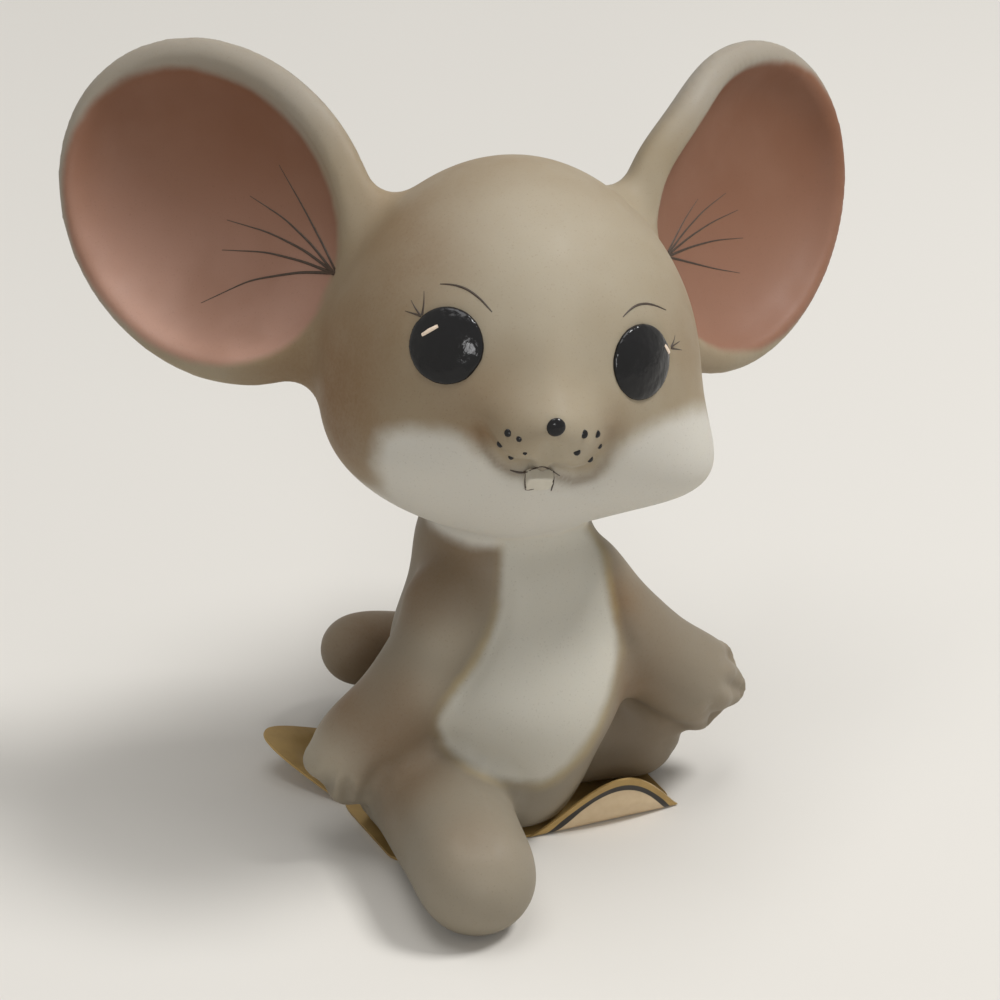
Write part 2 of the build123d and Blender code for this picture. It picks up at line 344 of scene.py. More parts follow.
def outlineDistance(points, outline):
    nearest = np.full(len(points), farAway)
    inside = np.zeros(len(points), bool)
    for start, stop in zip(outline, outline[1:] + outline[:1]):
        edge = np.array(stop) - np.array(start)
        offset = points - np.array(start)
        along = np.clip(offset @ edge / (edge @ edge), 0, 1)
        nearest = np.minimum(nearest, np.linalg.norm(offset - along[:, None] * edge, axis=1))
        level = points[:, 1]
        spans = (start[1] > level) != (stop[1] > level)
        if edge[1]:
            inside ^= spans & (points[:, 0] < start[0] + edge[0] * (level - start[1]) / edge[1])
    return np.where(inside, nearest, -nearest) * pixelSize / mm


def ease(value, low, high):
    part = np.clip((value - low) / (high - low), 0, 1)
    return part * part * (3 - 2 * part)


def keepMask(name, values):
    layer = skin.data.attributes.new(name, "FLOAT", "POINT")
    layer.data.foreach_set("value", np.asarray(values, np.float32))


count = len(skin.data.vertices)
places, normals = readPoints()
pixels = toPixels(places)
facing = normals @ np.array(cameraBack)
heights = places[:, 2] / mm

headAngles = [math.radians(headPose[key]) for key in ("pitch", "roll", "yaw")]
headTurn = np.array(Euler(headAngles, "XYZ").to_matrix())
inHead = (places - np.array(headCentre)) @ headTurn / mm  # the head's own axes, millimetres

earPaint = {
    "spread": {-1: 25.9, 1: 24.3},
    "level": {-1: 8.8, 1: 10.8},
    "setback": 11.3,
    "turn": 33.0,
    "lift": 11.0,
    "lean": 52.0,
    "length": 17.6,
    "width": 14.5,
    "shift": {-1: 1.5, 1: 2.3},
    "drop": {-1: 0.7, 1: 0.2},
    "share": {-1: 0.85, 1: 0.87},
    "pinkAndLight": {-1: 1.0, 1: 0.3},
    "edge": 1.2,  # share of the ear's oval where the dish paint ends
    "rimEdge": 1.6,
    "rimBack": -0.75,
    "frontFrom": 0.05,
    "dishScale": 15,
    "headMargin": 0.2,
    "pinkAndLightFade": (-0.6, 0.75),
    "rimFade": (-9.0, 2.0),
    "bare": -9.0,
}
panel = np.full(count, earPaint["bare"])
pink = np.zeros(count)
rim = np.zeros(count)
graph = bpy.context.evaluated_depsgraph_get()
headTree = BVHTree.FromObject(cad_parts["head"], graph)
earTrees = {}
for side, nodeName in ((-1, "right_ear"), (1, "left_ear")):
    turn, lift, lean = (math.radians(earPaint[k]) for k in ("turn", "lift", "lean"))
    outFacing = np.array((
        side * math.sin(turn) * math.cos(lift), -math.cos(turn) * math.cos(lift), math.sin(lift)))
    outward = np.array((side * math.cos(turn), math.sin(turn), 0))
    upward = np.array((
        -side * math.sin(turn) * math.sin(lift), math.cos(turn) * math.sin(lift), math.cos(lift)))
    longWay = upward * math.cos(lean) + outward * math.sin(lean)
    crossWay = np.cross(outFacing, longWay)
    centre = np.array((side * earPaint["spread"][side], earPaint["setback"], earPaint["level"][side]))
    offset = inHead - centre - outward * earPaint["shift"][side] + upward * earPaint["drop"][side]
    reach = np.hypot(offset @ longWay / earPaint["length"], offset @ crossWay / earPaint["width"])
    front = (normals @ headTurn) @ outFacing
    earTrees[side] = BVHTree.FromObject(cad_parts[nodeName], graph)
    for index in np.flatnonzero((reach < earPaint["edge"]) & (front > earPaint["frontFrom"])):
        spot = Vector(places[index])
        earGap = earTrees[side].find_nearest(spot)[3]
        headGap = headTree.find_nearest(spot)[3]
        inDish = (earPaint["share"][side] - reach[index]) * earPaint["dishScale"]
        offHead = (headGap - earGap) / mm - earPaint["headMargin"]
        panel[index] = max(panel[index], min(inDish, offHead))
    # the dish is painted pinker and lighter towards its bottom and darker at its top: pink paint, with
    # painted light and shade where the dish turns towards and away from the lamps
    low = -(offset @ upward) / earPaint["dishScale"]
    pinkAndLight = earPaint["pinkAndLight"][side] * ease(low, *earPaint["pinkAndLightFade"])
    pink = np.where(reach < earPaint["edge"], pinkAndLight, pink)
    onRim = (reach < earPaint["rimEdge"]) * (front > earPaint["rimBack"])
    rim = np.maximum(rim, ease(offset @ longWay, *earPaint["rimFade"]) * onRim)
keepMask("panel", panel)
keepMask("pink", pink)
keepMask("rim", rim)

neckPaint = {"from": 24, "split": 36, "to": 44, "sure": 9.0}  # heights in millimetres
bellyPaint = {
    "outline": [
        (500, 515), (498, 587), (493, 630), (462, 682), (430, 722), (446, 752), (483, 777), (540, 790),
        (574, 764), (600, 727), (615, 687), (623, 640), (613, 613), (597, 515),
    ],
    "turnedAway": 0.05,
    "fadeRate": 12,
    "overNeck": 0.6,
}
belly = outlineDistance(pixels, roundOff(bellyPaint["outline"]))
belly = np.minimum(belly, (facing - bellyPaint["turnedAway"]) * bellyPaint["fadeRate"])
neckTrees = [headTree, BVHTree.FromObject(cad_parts["torso"], graph)]
# how much nearer a point is to the head than to the torso
aboveNeck = np.where(heights > neckPaint["split"], neckPaint["sure"], -neckPaint["sure"])
for index in np.flatnonzero((heights > neckPaint["from"]) & (heights < neckPaint["to"])):
    headGap, torsoGap = (tree.find_nearest(Vector(places[index]))[3] for tree in neckTrees)
    aboveNeck[index] = (torsoGap - headGap) / mm
belly = np.minimum(belly, bellyPaint["overNeck"] - aboveNeck)
keepMask("belly", belly)

cheekPaint = {
    "outline": [
        (375, 470), (374, 446), (384, 428), (412, 426), (445, 429), (470, 439), (485, 453), (497, 465),
        (515, 473), (543, 468), (572, 479), (593, 475), (606, 463), (616, 449), (632, 436), (652, 424),
        (678, 412), (705, 404), (745, 402), (750, 540), (640, 570), (430, 570), (384, 505),
    ],
    "chinLevel": -7.5,  # on the head's own axes, as chinBack
    "chinRate": 0.6,
    "chinBack": -2,
    "backRate": 0.7,
    "seenFade": (-0.2, 0.35),
    "limit": 3,
    "overNeck": 1.6,
}
cheeks = outlineDistance(pixels, roundOff(cheekPaint["outline"], rounds=2))
underChin = (cheekPaint["chinLevel"] - inHead[:, 2]) * cheekPaint["chinRate"]
underChin -= np.maximum(inHead[:, 1] - cheekPaint["chinBack"], 0) * cheekPaint["backRate"]
seenShare = ease(facing, *cheekPaint["seenFade"])  # the outline holds where the photograph sees the face
limits = (-cheekPaint["limit"], cheekPaint["limit"])
cheeks = seenShare * np.clip(cheeks, *limits) + (1 - seenShare) * np.clip(underChin, *limits)
cheeks = np.minimum(cheeks, aboveNeck + cheekPaint["overNeck"])
keepMask("cheeks", cheeks)

# airbrushed puffs: pixel across, pixel down, radius in millimetres, strength; the brown puffs are brown
# airbrush and painted shade, laid darkest in the creases, under the chin and round the hands
brownAndShadePuffs = [
    (338, 420, 7.0, 0.75), (330, 375, 6.0, 0.65), (372, 320, 6.0, 0.45), (395, 225, 5.0, 0.45),
    (425, 262, 5.0, 0.35), (470, 405, 4.5, 0.40), (483, 433, 1.3, 0.70), (470, 170, 7.0, 0.20),
    (600, 185, 6.0, 0.15), (612, 430, 2.6, 0.30), (690, 340, 5.0, 0.30), (458, 552, 6.0, 0.45),
    (395, 605, 8.0, 0.55), (415, 590, 4.0, 0.45), (375, 640, 4.5, 0.35), (345, 700, 3.6, 0.60),
    (365, 660, 7.0, 0.30), (612, 600, 3.2, 0.65), (628, 690, 4.0, 0.50),
    (400, 740, 5.0, 0.50), (395, 790, 4.0, 0.35), (470, 838, 4.0, 0.25), (655, 620, 5.0, 0.18),
    (640, 740, 7.0, 0.28), (280, 372, 5.0, 0.45), (405, 690, 2.4, 0.30),
]
backPuffs = [  # unseen side, by place in millimetres
    ((0, 14, 60), 10.0, 0.45), ((0, 15, 46), 9.0, 0.4), ((0, 11, 24), 9.0, 0.5), ((16, 4, 44), 7.0, 0.45),
    ((0, 14, 12), 8.0, 0.4), ((18, -3, 12), 5.0, 0.3),
]
# pale paint, and painted light on the top of the forehead and on the tail's shaded side
paleAndLitPuffs = [
    (520, 235, 9.0, 0.50), (560, 300, 6.0, 0.35), (335, 765, 3.4, 0.7), (310, 745, 3.0, 0.6),
    (715, 700, 3.0, 0.2), (470, 880, 7.0, 0.3), (440, 640, 2.6, 0.55), (425, 690, 2.4, 0.45),
    (545, 455, 4.0, 0.35), (560, 180, 6.0, 0.2), (345, 650, 4.0, 0.25),
]


def aimed(puffs):
    return [(spotOnSkin(across, down)[0], radius, strength) for across, down, radius, strength in puffs]


def spray(puffs):
    amount = np.zeros(count)
    for place, radius, strength in puffs:
        if place is None:
            continue
        gap = np.linalg.norm(places - np.array(place), axis=1) / mm
        amount = 1 - (1 - amount) * (1 - strength * np.exp(-(gap / radius) ** 2))
    return amount


placed = [(Vector(place) * mm, radius, strength) for place, radius, strength in backPuffs]
# the brown mask holds brown airbrush and painted shade; the pale mask holds pale paint and painted light
keepMask("brown", spray(aimed(brownAndShadePuffs) + placed))
keepMask("pale", spray(aimed(paleAndLitPuffs)))

# painted shade: a dark line laid along the muzzle's tooled creases
creaseShadePaint = {"spread": 0.42, "turnedAway": -0.2}
creaseShade = np.zeros(count)
onFace = (facing > creaseShadePaint["turnedAway"]) * (heights > neckPaint["split"])
for path, _, _, fades in muzzleLines.values():
    creaseShade = np.maximum(creaseShade, pressDepth(pixels, path, creaseShadePaint["spread"], fades) * onFace)
keepMask("creaseShade", creaseShade)

coatChange = {"from": 30, "to": 36, "belowHead": -14}  # heights where the body's greyer coat takes over
isBody = np.where(inHead[:, 2] > coatChange["belowHead"], 0, 1)
keepMask("lowerCoat", ease(-heights, -coatChange["to"], -coatChange["from"]) * isBody)
print("paint masks laid on", count, "points")


# materials
def srgb(red, green, blue):
    parts = [c / 255 for c in (red, green, blue)]
    return tuple(p / 12.92 if p <= 0.04045 else ((p + 0.055) / 1.055) ** 2.4 for p in parts) + (1.0,)


class Finish:
    def __init__(self, name):
        self.material = bpy.data.materials.new(name)
        self.material.use_nodes = True
        self.tree = self.material.node_tree
        self.shader = self.tree.nodes["Principled BSDF"]
        self.coords = self.add("ShaderNodeTexCoord").outputs["Object"]

    def add(self, kind, **values):
        node = self.tree.nodes.new(kind)
        for key, value in values.items():
            setattr(node, key, value)
        return node

    def feed(self, socket, value):
        if isinstance(value, bpy.types.NodeSocket):
            self.tree.links.new(value, socket)
        else:
            socket.default_value = value

    def noise(self, scale, detail=3.0, stretch=None):
        node = self.add("ShaderNodeTexNoise")
        node.inputs["Scale"].default_value = scale
        node.inputs["Detail"].default_value = detail
        source = self.coords
        if stretch:
            mapping = self.add("ShaderNodeMapping")
            mapping.inputs["Scale"].default_value = stretch
            self.feed(mapping.inputs["Vector"], source)
            source = mapping.outputs["Vector"]
        self.feed(node.inputs["Vector"], source)
        return node.outputs["Fac"]

    def mask(self, name):
        return self.add("ShaderNodeAttribute", attribute_name=name).outputs["Fac"]

    def combine(self, kind, first, second):
        node = self.add("ShaderNodeMath", operation=kind)
        self.feed(node.inputs[0], first)
        self.feed(node.inputs[1], second)
        return node.outputs[0]

    def ramp(self, value, low, high, start=0.0, stop=1.0):
        node = self.add("ShaderNodeMapRange", interpolation_type="SMOOTHSTEP")
        self.feed(node.inputs["Value"], value)
        for key, number in (("From Min", low), ("From Max", high), ("To Min", start), ("To Max", stop)):
            node.inputs[key].default_value = number
        return node.outputs["Result"]

    def mix(self, factor, first, second):
        node = self.add("ShaderNodeMix", data_type="RGBA")
        self.feed(node.inputs[0], factor)
        self.feed(node.inputs[6], first)  # a mix node's colour sockets are 6, 7 and 2
        self.feed(node.inputs[7], second)
        return node.outputs[2]

    def bump(self, height, strength, distance):
        node = self.add("ShaderNodeBump")
        node.inputs["Strength"].default_value = strength
        node.inputs["Distance"].default_value = distance
        self.feed(node.inputs["Height"], height)
        self.feed(self.shader.inputs["Normal"], node.outputs["Normal"])

    def set(self, **values):
        for key, value in values.items():
            self.feed(self.shader.inputs[key.replace("_", " ")], value)


bisque = {
    "coat": srgb(149, 135, 111),
    "lowerCoat": srgb(135, 126, 110),
    # brown airbrush, also laid as painted shade
    "brown": srgb(121, 91, 58),
    "pale": srgb(176, 167, 149),
    "white": srgb(198, 194, 184),
    "belly": srgb(192, 188, 176),
    "bellyLine": srgb(188, 168, 120),
    "rim": srgb(152, 145, 134),
    # painted shade along the muzzle creases
    "creaseShade": srgb(104, 84, 60),
    "panelDark": srgb(124, 84, 62),
    "panelPink": srgb(170, 134, 117),
    "panelDust": srgb(136, 99, 79),
    "speckle": srgb(96, 74, 52),
}
bisqueNoise = {  # scale, detail
    "broad": (95.0, 3.0),
    "soft": (320.0, 4.0),
    "grain": (2600.0, 2.0),
    "speckle": (5200.0, 1.0),
}
bisqueRange = {  # value from, to, amount from, to
    "dusting": (0.3, 0.7, 0.0, 0.35),
    "brownCloud": (0.2, 0.8, 0.88, 1.08),
    "brownGrain": (0.3, 0.7, 0.92, 1.05),
    "cheekEdge": (-1.1, 1.3),
    "bellyLineIn": (-0.9, 0.0),
    "bellyLineOut": (0.9, 0.1),
    "bellyLine": (0.35, 0.65, 0.05, 0.40),
    "bellyEdge": (-0.3, 0.9),
    "panelDust": (0.35, 0.7, 0.0, 0.55),
    "panelEdge": (-0.35, 0.55),
    "creaseShade": (0.25, 0.75, 0.30, 0.60),
    "speckle": (0.62, 0.78, 0.0, 0.16),
    "roughness": (0.2, 0.8, 0.50, 0.62),
}
bisqueWobble = {"middle": 0.5, "reach": 1.6, "cheeks": 1.0, "belly": 0.5, "panel": 0.35}
rimAmount = 0.75
skinFinish = Finish("airbrushedBisque")
noises = {key: skinFinish.noise(*values) for key, values in bisqueNoise.items()}


def inRange(value, rangeName):
    return skinFinish.ramp(value, *bisqueRange[rangeName])


def times(first, second):
    return skinFinish.combine("MULTIPLY", first, second)


wobble = skinFinish.combine("SUBTRACT", noises["soft"], bisqueWobble["middle"])
wobble = times(wobble, bisqueWobble["reach"])


def wobbled(maskName):
    return skinFinish.combine("ADD", skinFinish.mask(maskName), times(wobble, bisqueWobble[maskName]))


# brown airbrush, with painted shade in the creases and round the hands
brownAndShadeAmount = times(skinFinish.mask("brown"), inRange(noises["soft"], "brownCloud"))
brownAndShadeAmount = times(brownAndShadeAmount, inRange(noises["grain"], "brownGrain"))
bellyField = wobbled("belly")
bellyLine = times(inRange(bellyField, "bellyLineIn"), inRange(bellyField, "bellyLineOut"))
# darker at the dish's top, pinker and lighter at its bottom: pink paint with painted light and shade
panelTone = skinFinish.mix(skinFinish.mask("pink"), bisque["panelDark"], bisque["panelPink"])
panelTone = skinFinish.mix(inRange(noises["broad"], "panelDust"), panelTone, bisque["panelDust"])
sprayLayers = [  # amount and colour, from the first coat up
    (inRange(noises["broad"], "dusting"), bisque["pale"]),
    (skinFinish.mask("lowerCoat"), bisque["lowerCoat"]),
    # pale paint, with painted light on the forehead top and the shaded tail
    (skinFinish.mask("pale"), bisque["pale"]),
    (brownAndShadeAmount, bisque["brown"]),
    (inRange(wobbled("cheeks"), "cheekEdge"), bisque["white"]),
    (times(bellyLine, inRange(noises["broad"], "bellyLine")), bisque["bellyLine"]),
    (inRange(bellyField, "bellyEdge"), bisque["belly"]),
    (times(skinFinish.mask("rim"), rimAmount), bisque["rim"]),
    (inRange(wobbled("panel"), "panelEdge"), panelTone),
    # painted shade along the muzzle creases
    (times(skinFinish.mask("creaseShade"), inRange(noises["soft"], "creaseShade")), bisque["creaseShade"]),
    (inRange(noises["speckle"], "speckle"), bisque["speckle"]),
]
colour = bisque["coat"]
for amount, tone in sprayLayers:
    colour = skinFinish.mix(amount, colour, tone)
skinFinish.set(
    Base_Color=colour,
    Roughness=inRange(noises["soft"], "roughness"),
    Specular_IOR_Level=0.3,
    Subsurface_Weight=0.25,
    Subsurface_Radius=(1.0, 0.8, 0.6),
    Subsurface_Scale=0.0016,
)
skinFinish.bump(noises["grain"], strength=0.12, distance=0.00005)
skin.data.materials.append(skinFinish.material)
settle(skin, "bisque", *castSkin["core"], *castSkin["limbs"])

enamelTones = {  # two tones, noise scales of tone and roughness, roughness from and to
    "blackEnamel": (srgb(8, 8, 10), srgb(18, 18, 22), 900.0, 2500.0, (0.08, 0.18)),
    "creamEnamel": (srgb(232, 208, 184), srgb(246, 228, 208), 1500.0, 3000.0, (0.25, 0.4)),
    "brushBrown": (srgb(42, 32, 25), srgb(74, 59, 46), 1800.0, 3000.0, (0.4, 0.6)),
    "toothBisque": (srgb(186, 180, 164), srgb(206, 200, 186), 900.0, 2500.0, (0.35, 0.5)),
}
midNoise = (0.3, 0.7)  # where most of a noise lies
finishes = {}
for finishName, (dark, light, toneScale, roughScale, rough) in enamelTones.items():
    finish = Finish(finishName)
    finish.set(
        Base_Color=finish.mix(finish.noise(toneScale), dark, light),
        Roughness=finish.ramp(finish.noise(roughScale), *midNoise, *rough),
    )
    finishes[finishName] = finish
blackFinish = finishes["blackEnamel"]
blackFinish.set(Specular_IOR_Level=0.28, Coat_Weight=0.12, Coat_Roughness=0.05)
brushMarks = blackFinish.noise(scale=2300.0, detail=3.0, stretch=(1.0, 1.0, 0.5))
blackFinish.bump(brushMarks, strength=0.5, distance=0.00009)

# eyes, nose and dots: enamel laid over the cast face
enamel = {
    "right_eye": {"piece": "rightEye", "voxel": 0.14, "soften": 10, "lumps": 0.12},
    "left_eye": {"piece": "leftEye", "voxel": 0.14, "soften": 10, "lumps": 0.12},
    "nose": {"piece": "noseBead", "voxel": 0.07, "soften": 6, "lumps": 0.08, "flatten": 0.45},
}
brushLumps = bpy.data.textures.new("brushLumps", "CLOUDS")
brushLumps.noise_scale = 0.0012
enamelPieces = {}
for nodeName, values in enamel.items():
    piece = copyNodes([nodeName], values["piece"])
    remesh(piece, values["voxel"])
    soften(piece, values["soften"])
    lumps = values["lumps"] * mm
    applyModifier(piece, "DISPLACE", texture=brushLumps, texture_coords="LOCAL", strength=lumps)
    if "flatten" in values:
        low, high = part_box(nodeName)
        middle = (low + high) / 2
        outward = (middle - headCentre).normalized()
        for vertex in piece.data.vertices:
            vertex.co -= outward * (vertex.co - middle).dot(outward) * values["flatten"]
    piece.data.materials.append(blackFinish.material)
    settle(piece, "enamel", nodeName)
    enamelPieces[nodeName] = piece

whiskers = {
    "marks": [  # pixel across, pixel down, half-width in pixels
        (508, 433, 3.6), (519, 439, 2.7), (500, 444, 3.3), (511, 457, 2.7), (525, 453, 2.1),
        (584, 434, 4.0), (597, 434, 3.5), (599.5, 446, 2.7), (577, 452, 3.5), (590, 459, 3.3),
    ],
    "scale": (1.0, 1.08, 0.45),  # a flat drop of enamel
    "towardCamera": 0.6,
    "segments": 20,
    "rings": 12,
}
dots = []
for across, down, halfWidth in whiskers["marks"]:
    place, normal = spotOnSkin(across, down)
    bpy.ops.object.select_all(action="DESELECT")
    bpy.ops.mesh.primitive_uv_sphere_add(
        segments=whiskers["segments"],
        ring_count=whiskers["rings"],
        radius=halfWidth * pixelSize,
        location=place,
    )
    dot = bpy.context.object
    dot.scale = whiskers["scale"]
    lean = normal * (1 - whiskers["towardCamera"]) + cameraBack * whiskers["towardCamera"]
    dot.rotation_euler = lean.to_track_quat("Z", "Y").to_euler()
    bpy.ops.object.transform_apply(location=True, rotation=True, scale=True)
    dots.append(dot)
joinInto(dots[0], dots[1:])
whiskerDots = dots[0]
whiskerDots.name = "whiskerDots"
whiskerDots.data.name = "whiskerDots"
whiskerDots.data.materials.append(blackFinish.material)
settle(whiskerDots, "enamel", "whisker_dots")

teeth = {"voxel": 0.1, "soften": 14}
tooth = copyNodes(["front_teeth"], "frontTeeth")
remesh(tooth, teeth["voxel"])
soften(tooth, teeth["soften"])
tooth.data.materials.append(finishes["toothBisque"].material)
settle(tooth, "tooth", "front_teeth")
print("enamel pieces:", len(enamelPieces))

# brushed lines: pixel landmarks, width in pixels, taper; each is laid where the camera ray meets a surface
brushLines = {
    "brows": [
        ([(440, 284), (452, 284), (466, 288), (480, 298), (492, 312)], 2.8, "both"),
        ([(456, 285), (470, 291), (484, 303)], 1.6, "both"),
        ([(623, 317), (631, 308), (641, 303), (653, 304), (666, 310)], 2.8, "both"),
    ],
    "lashes": [
        ([(421, 316), (412, 313), (405, 311)], 3.0, "tip"),
        ([(421, 316), (415, 308), (411, 300)], 3.0, "tip"),
        ([(422, 315), (424, 304), (424, 291)], 3.0, "tip"),
        ([(671, 347), (674, 341), (675, 335)], 2.8, "tip"),
        ([(671, 347), (676, 344), (680, 341)], 2.8, "tip"),
        ([(671, 348), (676, 349), (682, 350)], 2.8, "tip"),
    ],
    "earHairs": [
        ([(335, 270), (322, 243), (303, 207), (279, 165)], 4.0, "tip"),
        ([(333, 272), (312, 245), (284, 218), (250, 196)], 4.0, "tip"),
        ([(333, 272), (304, 250), (268, 232), (227, 220)], 4.0, "tip"),
        ([(334, 274), (305, 262), (266, 252), (222, 250)], 4.0, "tip"),
        ([(335, 273), (300, 272), (250, 280), (201, 303)], 4.0, "tip"),
        ([(668, 252), (676, 236), (686, 217), (698, 199)], 3.4, "tip"),
        ([(668, 254), (684, 232), (704, 210), (726, 193)], 3.4, "tip"),
        ([(668, 255), (688, 238), (712, 222), (738, 210)], 3.4, "tip"),
        ([(669, 256), (690, 247), (716, 240), (743, 238)], 3.4, "tip"),
        ([(669, 257), (692, 263), (716, 269), (740, 273)], 3.4, "tip"),
    ],
    "mouthLines": [
        ([(510, 470), (519, 473), (528, 472)], 2.8, "both"),
        ([(527, 472), (535, 468), (543, 465), (551, 470), (560, 476)], 2.0, "both"),
        ([(525.5, 473), (525, 481), (525.5, 490)], 2.8, "both"),
        ([(554, 477), (553, 484), (551, 491)], 2.8, "both"),
        ([(525.5, 490), (530, 490), (534, 489)], 1.8, "both"),
    ],
    "catchLights": [
        ([(422, 335), (430, 330), (438, 326)], 5.0, "blunt"),
        ([(665, 345), (669, 352), (671, 359)], 5.0, "blunt"),
    ],
}
strokeShape = {
    "pixelStep": 3,
    "fewestSteps": 10,
    "fewestRounds": 4,
    "stepsPerRound": 3,
    "bevel": 2,
    "sink": 0.45,  # share of the half-width
    "tipLoss": 0.8,
    "endGirth": 0.35,
    "ends": (0.02, 0.98),
    "fullness": 0.7,
    "bluntGirth": 0.8,
}
earSearch = {"tries": 6, "step": 0.2}
graph = bpy.context.evaluated_depsgraph_get()
enamelTrees = [BVHTree.FromObject(piece, graph) for piece in [*enamelPieces.values(), tooth]]


def layPoint(across, down, targets):
    hits = [tree.ray_cast(cameraPlace, pixelRay(across, down)) for tree in targets]
    hits = [hit for hit in hits if hit[0] is not None]
    return min(hits, key=lambda hit: hit[3]) if hits else None


def layInEar(across, down, side):
    ray, start = pixelRay(across, down), cameraPlace
    for _ in range(earSearch["tries"]):  # passes the head and stops in the dish behind it
        hit = skinTree.ray_cast(start, ray)
        if hit[0] is None:
            return None
        earGap = earTrees[side].find_nearest(hit[0])[3]
        headGap = headTree.find_nearest(hit[0])[3]
        if hit[1].dot(ray) < 0 and earGap < headGap:
            return hit
        start = hit[0] + ray * earSearch["step"] * mm
    return None


def girthAlong(shares, taper):
    if taper == "tip":
        return 1 - strokeShape["tipLoss"] * shares
    if taper == "both":
        arch = np.sin(math.pi * np.clip(shares, *strokeShape["ends"])) ** strokeShape["fullness"]
        return strokeShape["endGirth"] + (1 - strokeShape["endGirth"]) * arch
    arch = np.sin(math.pi * shares)
    return strokeShape["bluntGirth"] + (1 - strokeShape["bluntGirth"]) * arch


def layLine(name, landmarks, width, taper):
    side = -1 if landmarks[0][0] < halfSide else 1
    landmarks = np.array(landmarks, float)
    runs = np.linalg.norm(np.diff(landmarks, axis=0), axis=1)
    marks = np.concatenate([[0], np.cumsum(runs)])
    stepCount = max(strokeShape["fewestSteps"], int(marks[-1] / strokeShape["pixelStep"]))
    steps = np.linspace(0, marks[-1], stepCount)
    path = np.stack([np.interp(steps, marks, landmarks[:, k]) for k in (0, 1)], axis=1)
    for _ in range(max(strokeShape["fewestRounds"], len(path) // strokeShape["stepsPerRound"])):
        # evens out the corners
        path[1:-1] = 0.5 * path[1:-1] + 0.25 * (path[:-2] + path[2:])
    girths = girthAlong(steps / marks[-1], taper)
    half = width / 2 * pixelSize
    line = bpy.data.curves.new(name, "CURVE")
    line.dimensions = "3D"
    line.bevel_depth = half
    line.bevel_resolution = strokeShape["bevel"]
    line.use_fill_caps = True
    if name == "earHairs":
        hits = [(layInEar(*point, side), girth) for point, girth in zip(path, girths)]
    else:
        targets = enamelTrees if name == "catchLights" else [skinTree, *enamelTrees]
        hits = [(layPoint(*point, targets), girth) for point, girth in zip(path, girths)]
    hits = [(hit, girth) for hit, girth in hits if hit is not None]
    spline = line.splines.new("POLY")
    spline.points.add(len(hits) - 1)
    for point, (hit, girth) in zip(spline.points, hits):
        sunk = hit[0] - hit[1] * half * girth * strokeShape["sink"]
        point.co = (*sunk, 1.0)
        point.radius = girth
    stroke = bpy.data.objects.new(name, line)
    scene.collection.objects.link(stroke)
    wake(stroke)
    bpy.ops.object.convert(target="MESH")
    return bpy.context.object


for groupName, lines in brushLines.items():
    strokes = [layLine(groupName, *values) for values in lines]
    if len(strokes) > 1:
        joinInto(strokes[0], strokes[1:])
    group = strokes[0]
    group.name = groupName
    group.data.name = groupName
    group.data.materials.clear()
    finishName = "creamEnamel" if groupName == "catchLights" else "brushBrown"
    group.data.materials.append(finishes[finishName].material)
    settle(group, "enamel")
print("brushed lines laid:", sum(len(lines) for lines in brushLines.values()))

# foil label under the base: a flat sheet with its front edge sprung up and one corner curled
label = {
    "outline": [(-14.0, -8.8), (14.8, -8.8), (13.0, 14.5), (-9.5, 15.5), (-15.2, 3.5)],
    "thickness": 0.28,
    "front": {"start": (-0.6, -8.9), "stop": (14.9, -8.9), "reach": 5.4, "lift": 74.0, "peak": 0.57},
    "corner": {"start": (-9.5, 15.5), "stop": (-15.2, 3.5), "reach": 9.0, "lift": 26.0, "peak": 0.55},
    "printed": ("front",),
    "goldBand": 0.85,
    "blackBand": 0.70,
    "bandBlur": 0.05,
    "steps": (48, 12),
    "crestPower": 1.1,
    "foldSlope": 0.55,
    "springRate": 1.6,
    "flapShare": 0.7,  # a flap's share of the sheet's thickness
    "cornerRadius": 2.2,
    "cornerSteps": 6,
    "smoothAngle": 40,
    "gold": (srgb(150, 122, 74), srgb(190, 160, 102)),
    "black": srgb(38, 33, 28),
    "cream": (srgb(196, 172, 136), srgb(214, 192, 158)),
    "goldNoise": 400.0,
    "creamNoise": 1200.0,
    "roughNoise": 700.0,
    "rough": (0.32, 0.5),
    "metal": (0.5, 0.0),  # on bare foil and on print
}


def raisedEdge(edgeName):
    values = label[edgeName]
    bpy.ops.object.select_all(action="DESELECT")
    across, up = label["steps"]
    bpy.ops.mesh.primitive_grid_add(x_subdivisions=across, y_subdivisions=up, size=2.0)
    flap = bpy.context.object
    flap.name = edgeName + "Flap"
    start, stop = Vector((*values["start"], 0.0)), Vector((*values["stop"], 0.0))
    run = stop - start
    outward = Vector((run.y, -run.x, 0.0)).normalized()
    lift = math.radians(values["lift"])
    bend = math.log(0.5) / math.log(values["peak"])  # puts the crest at its share of the edge
    bands = []
    for vertex in flap.data.vertices:
        share, rise = (vertex.co.x + 1) / 2, (vertex.co.y + 1) / 2
        crest = values["reach"] * math.sin(math.pi * share ** bend) ** label["crestPower"]
        spring = min(1.0, rise * label["springRate"])  # springs up from the fold
        slope = lift * (label["foldSlope"] + (1 - label["foldSlope"]) * spring)
        climb = crest * rise
        spot = start + run * share + outward * math.cos(slope) * climb
        spot.z = math.sin(slope) * climb + label["thickness"] / 2
        vertex.co = spot * mm
        bands.append(crest - climb if edgeName in label["printed"] else 0.0)
    layer = flap.data.attributes.new("band", "FLOAT", "POINT")
    layer.data.foreach_set("value", bands)
    applyModifier(flap, "SOLIDIFY", thickness=label["thickness"] * mm * label["flapShare"], offset=0.0)
    return flap


bpy.ops.object.select_all(action="DESELECT")
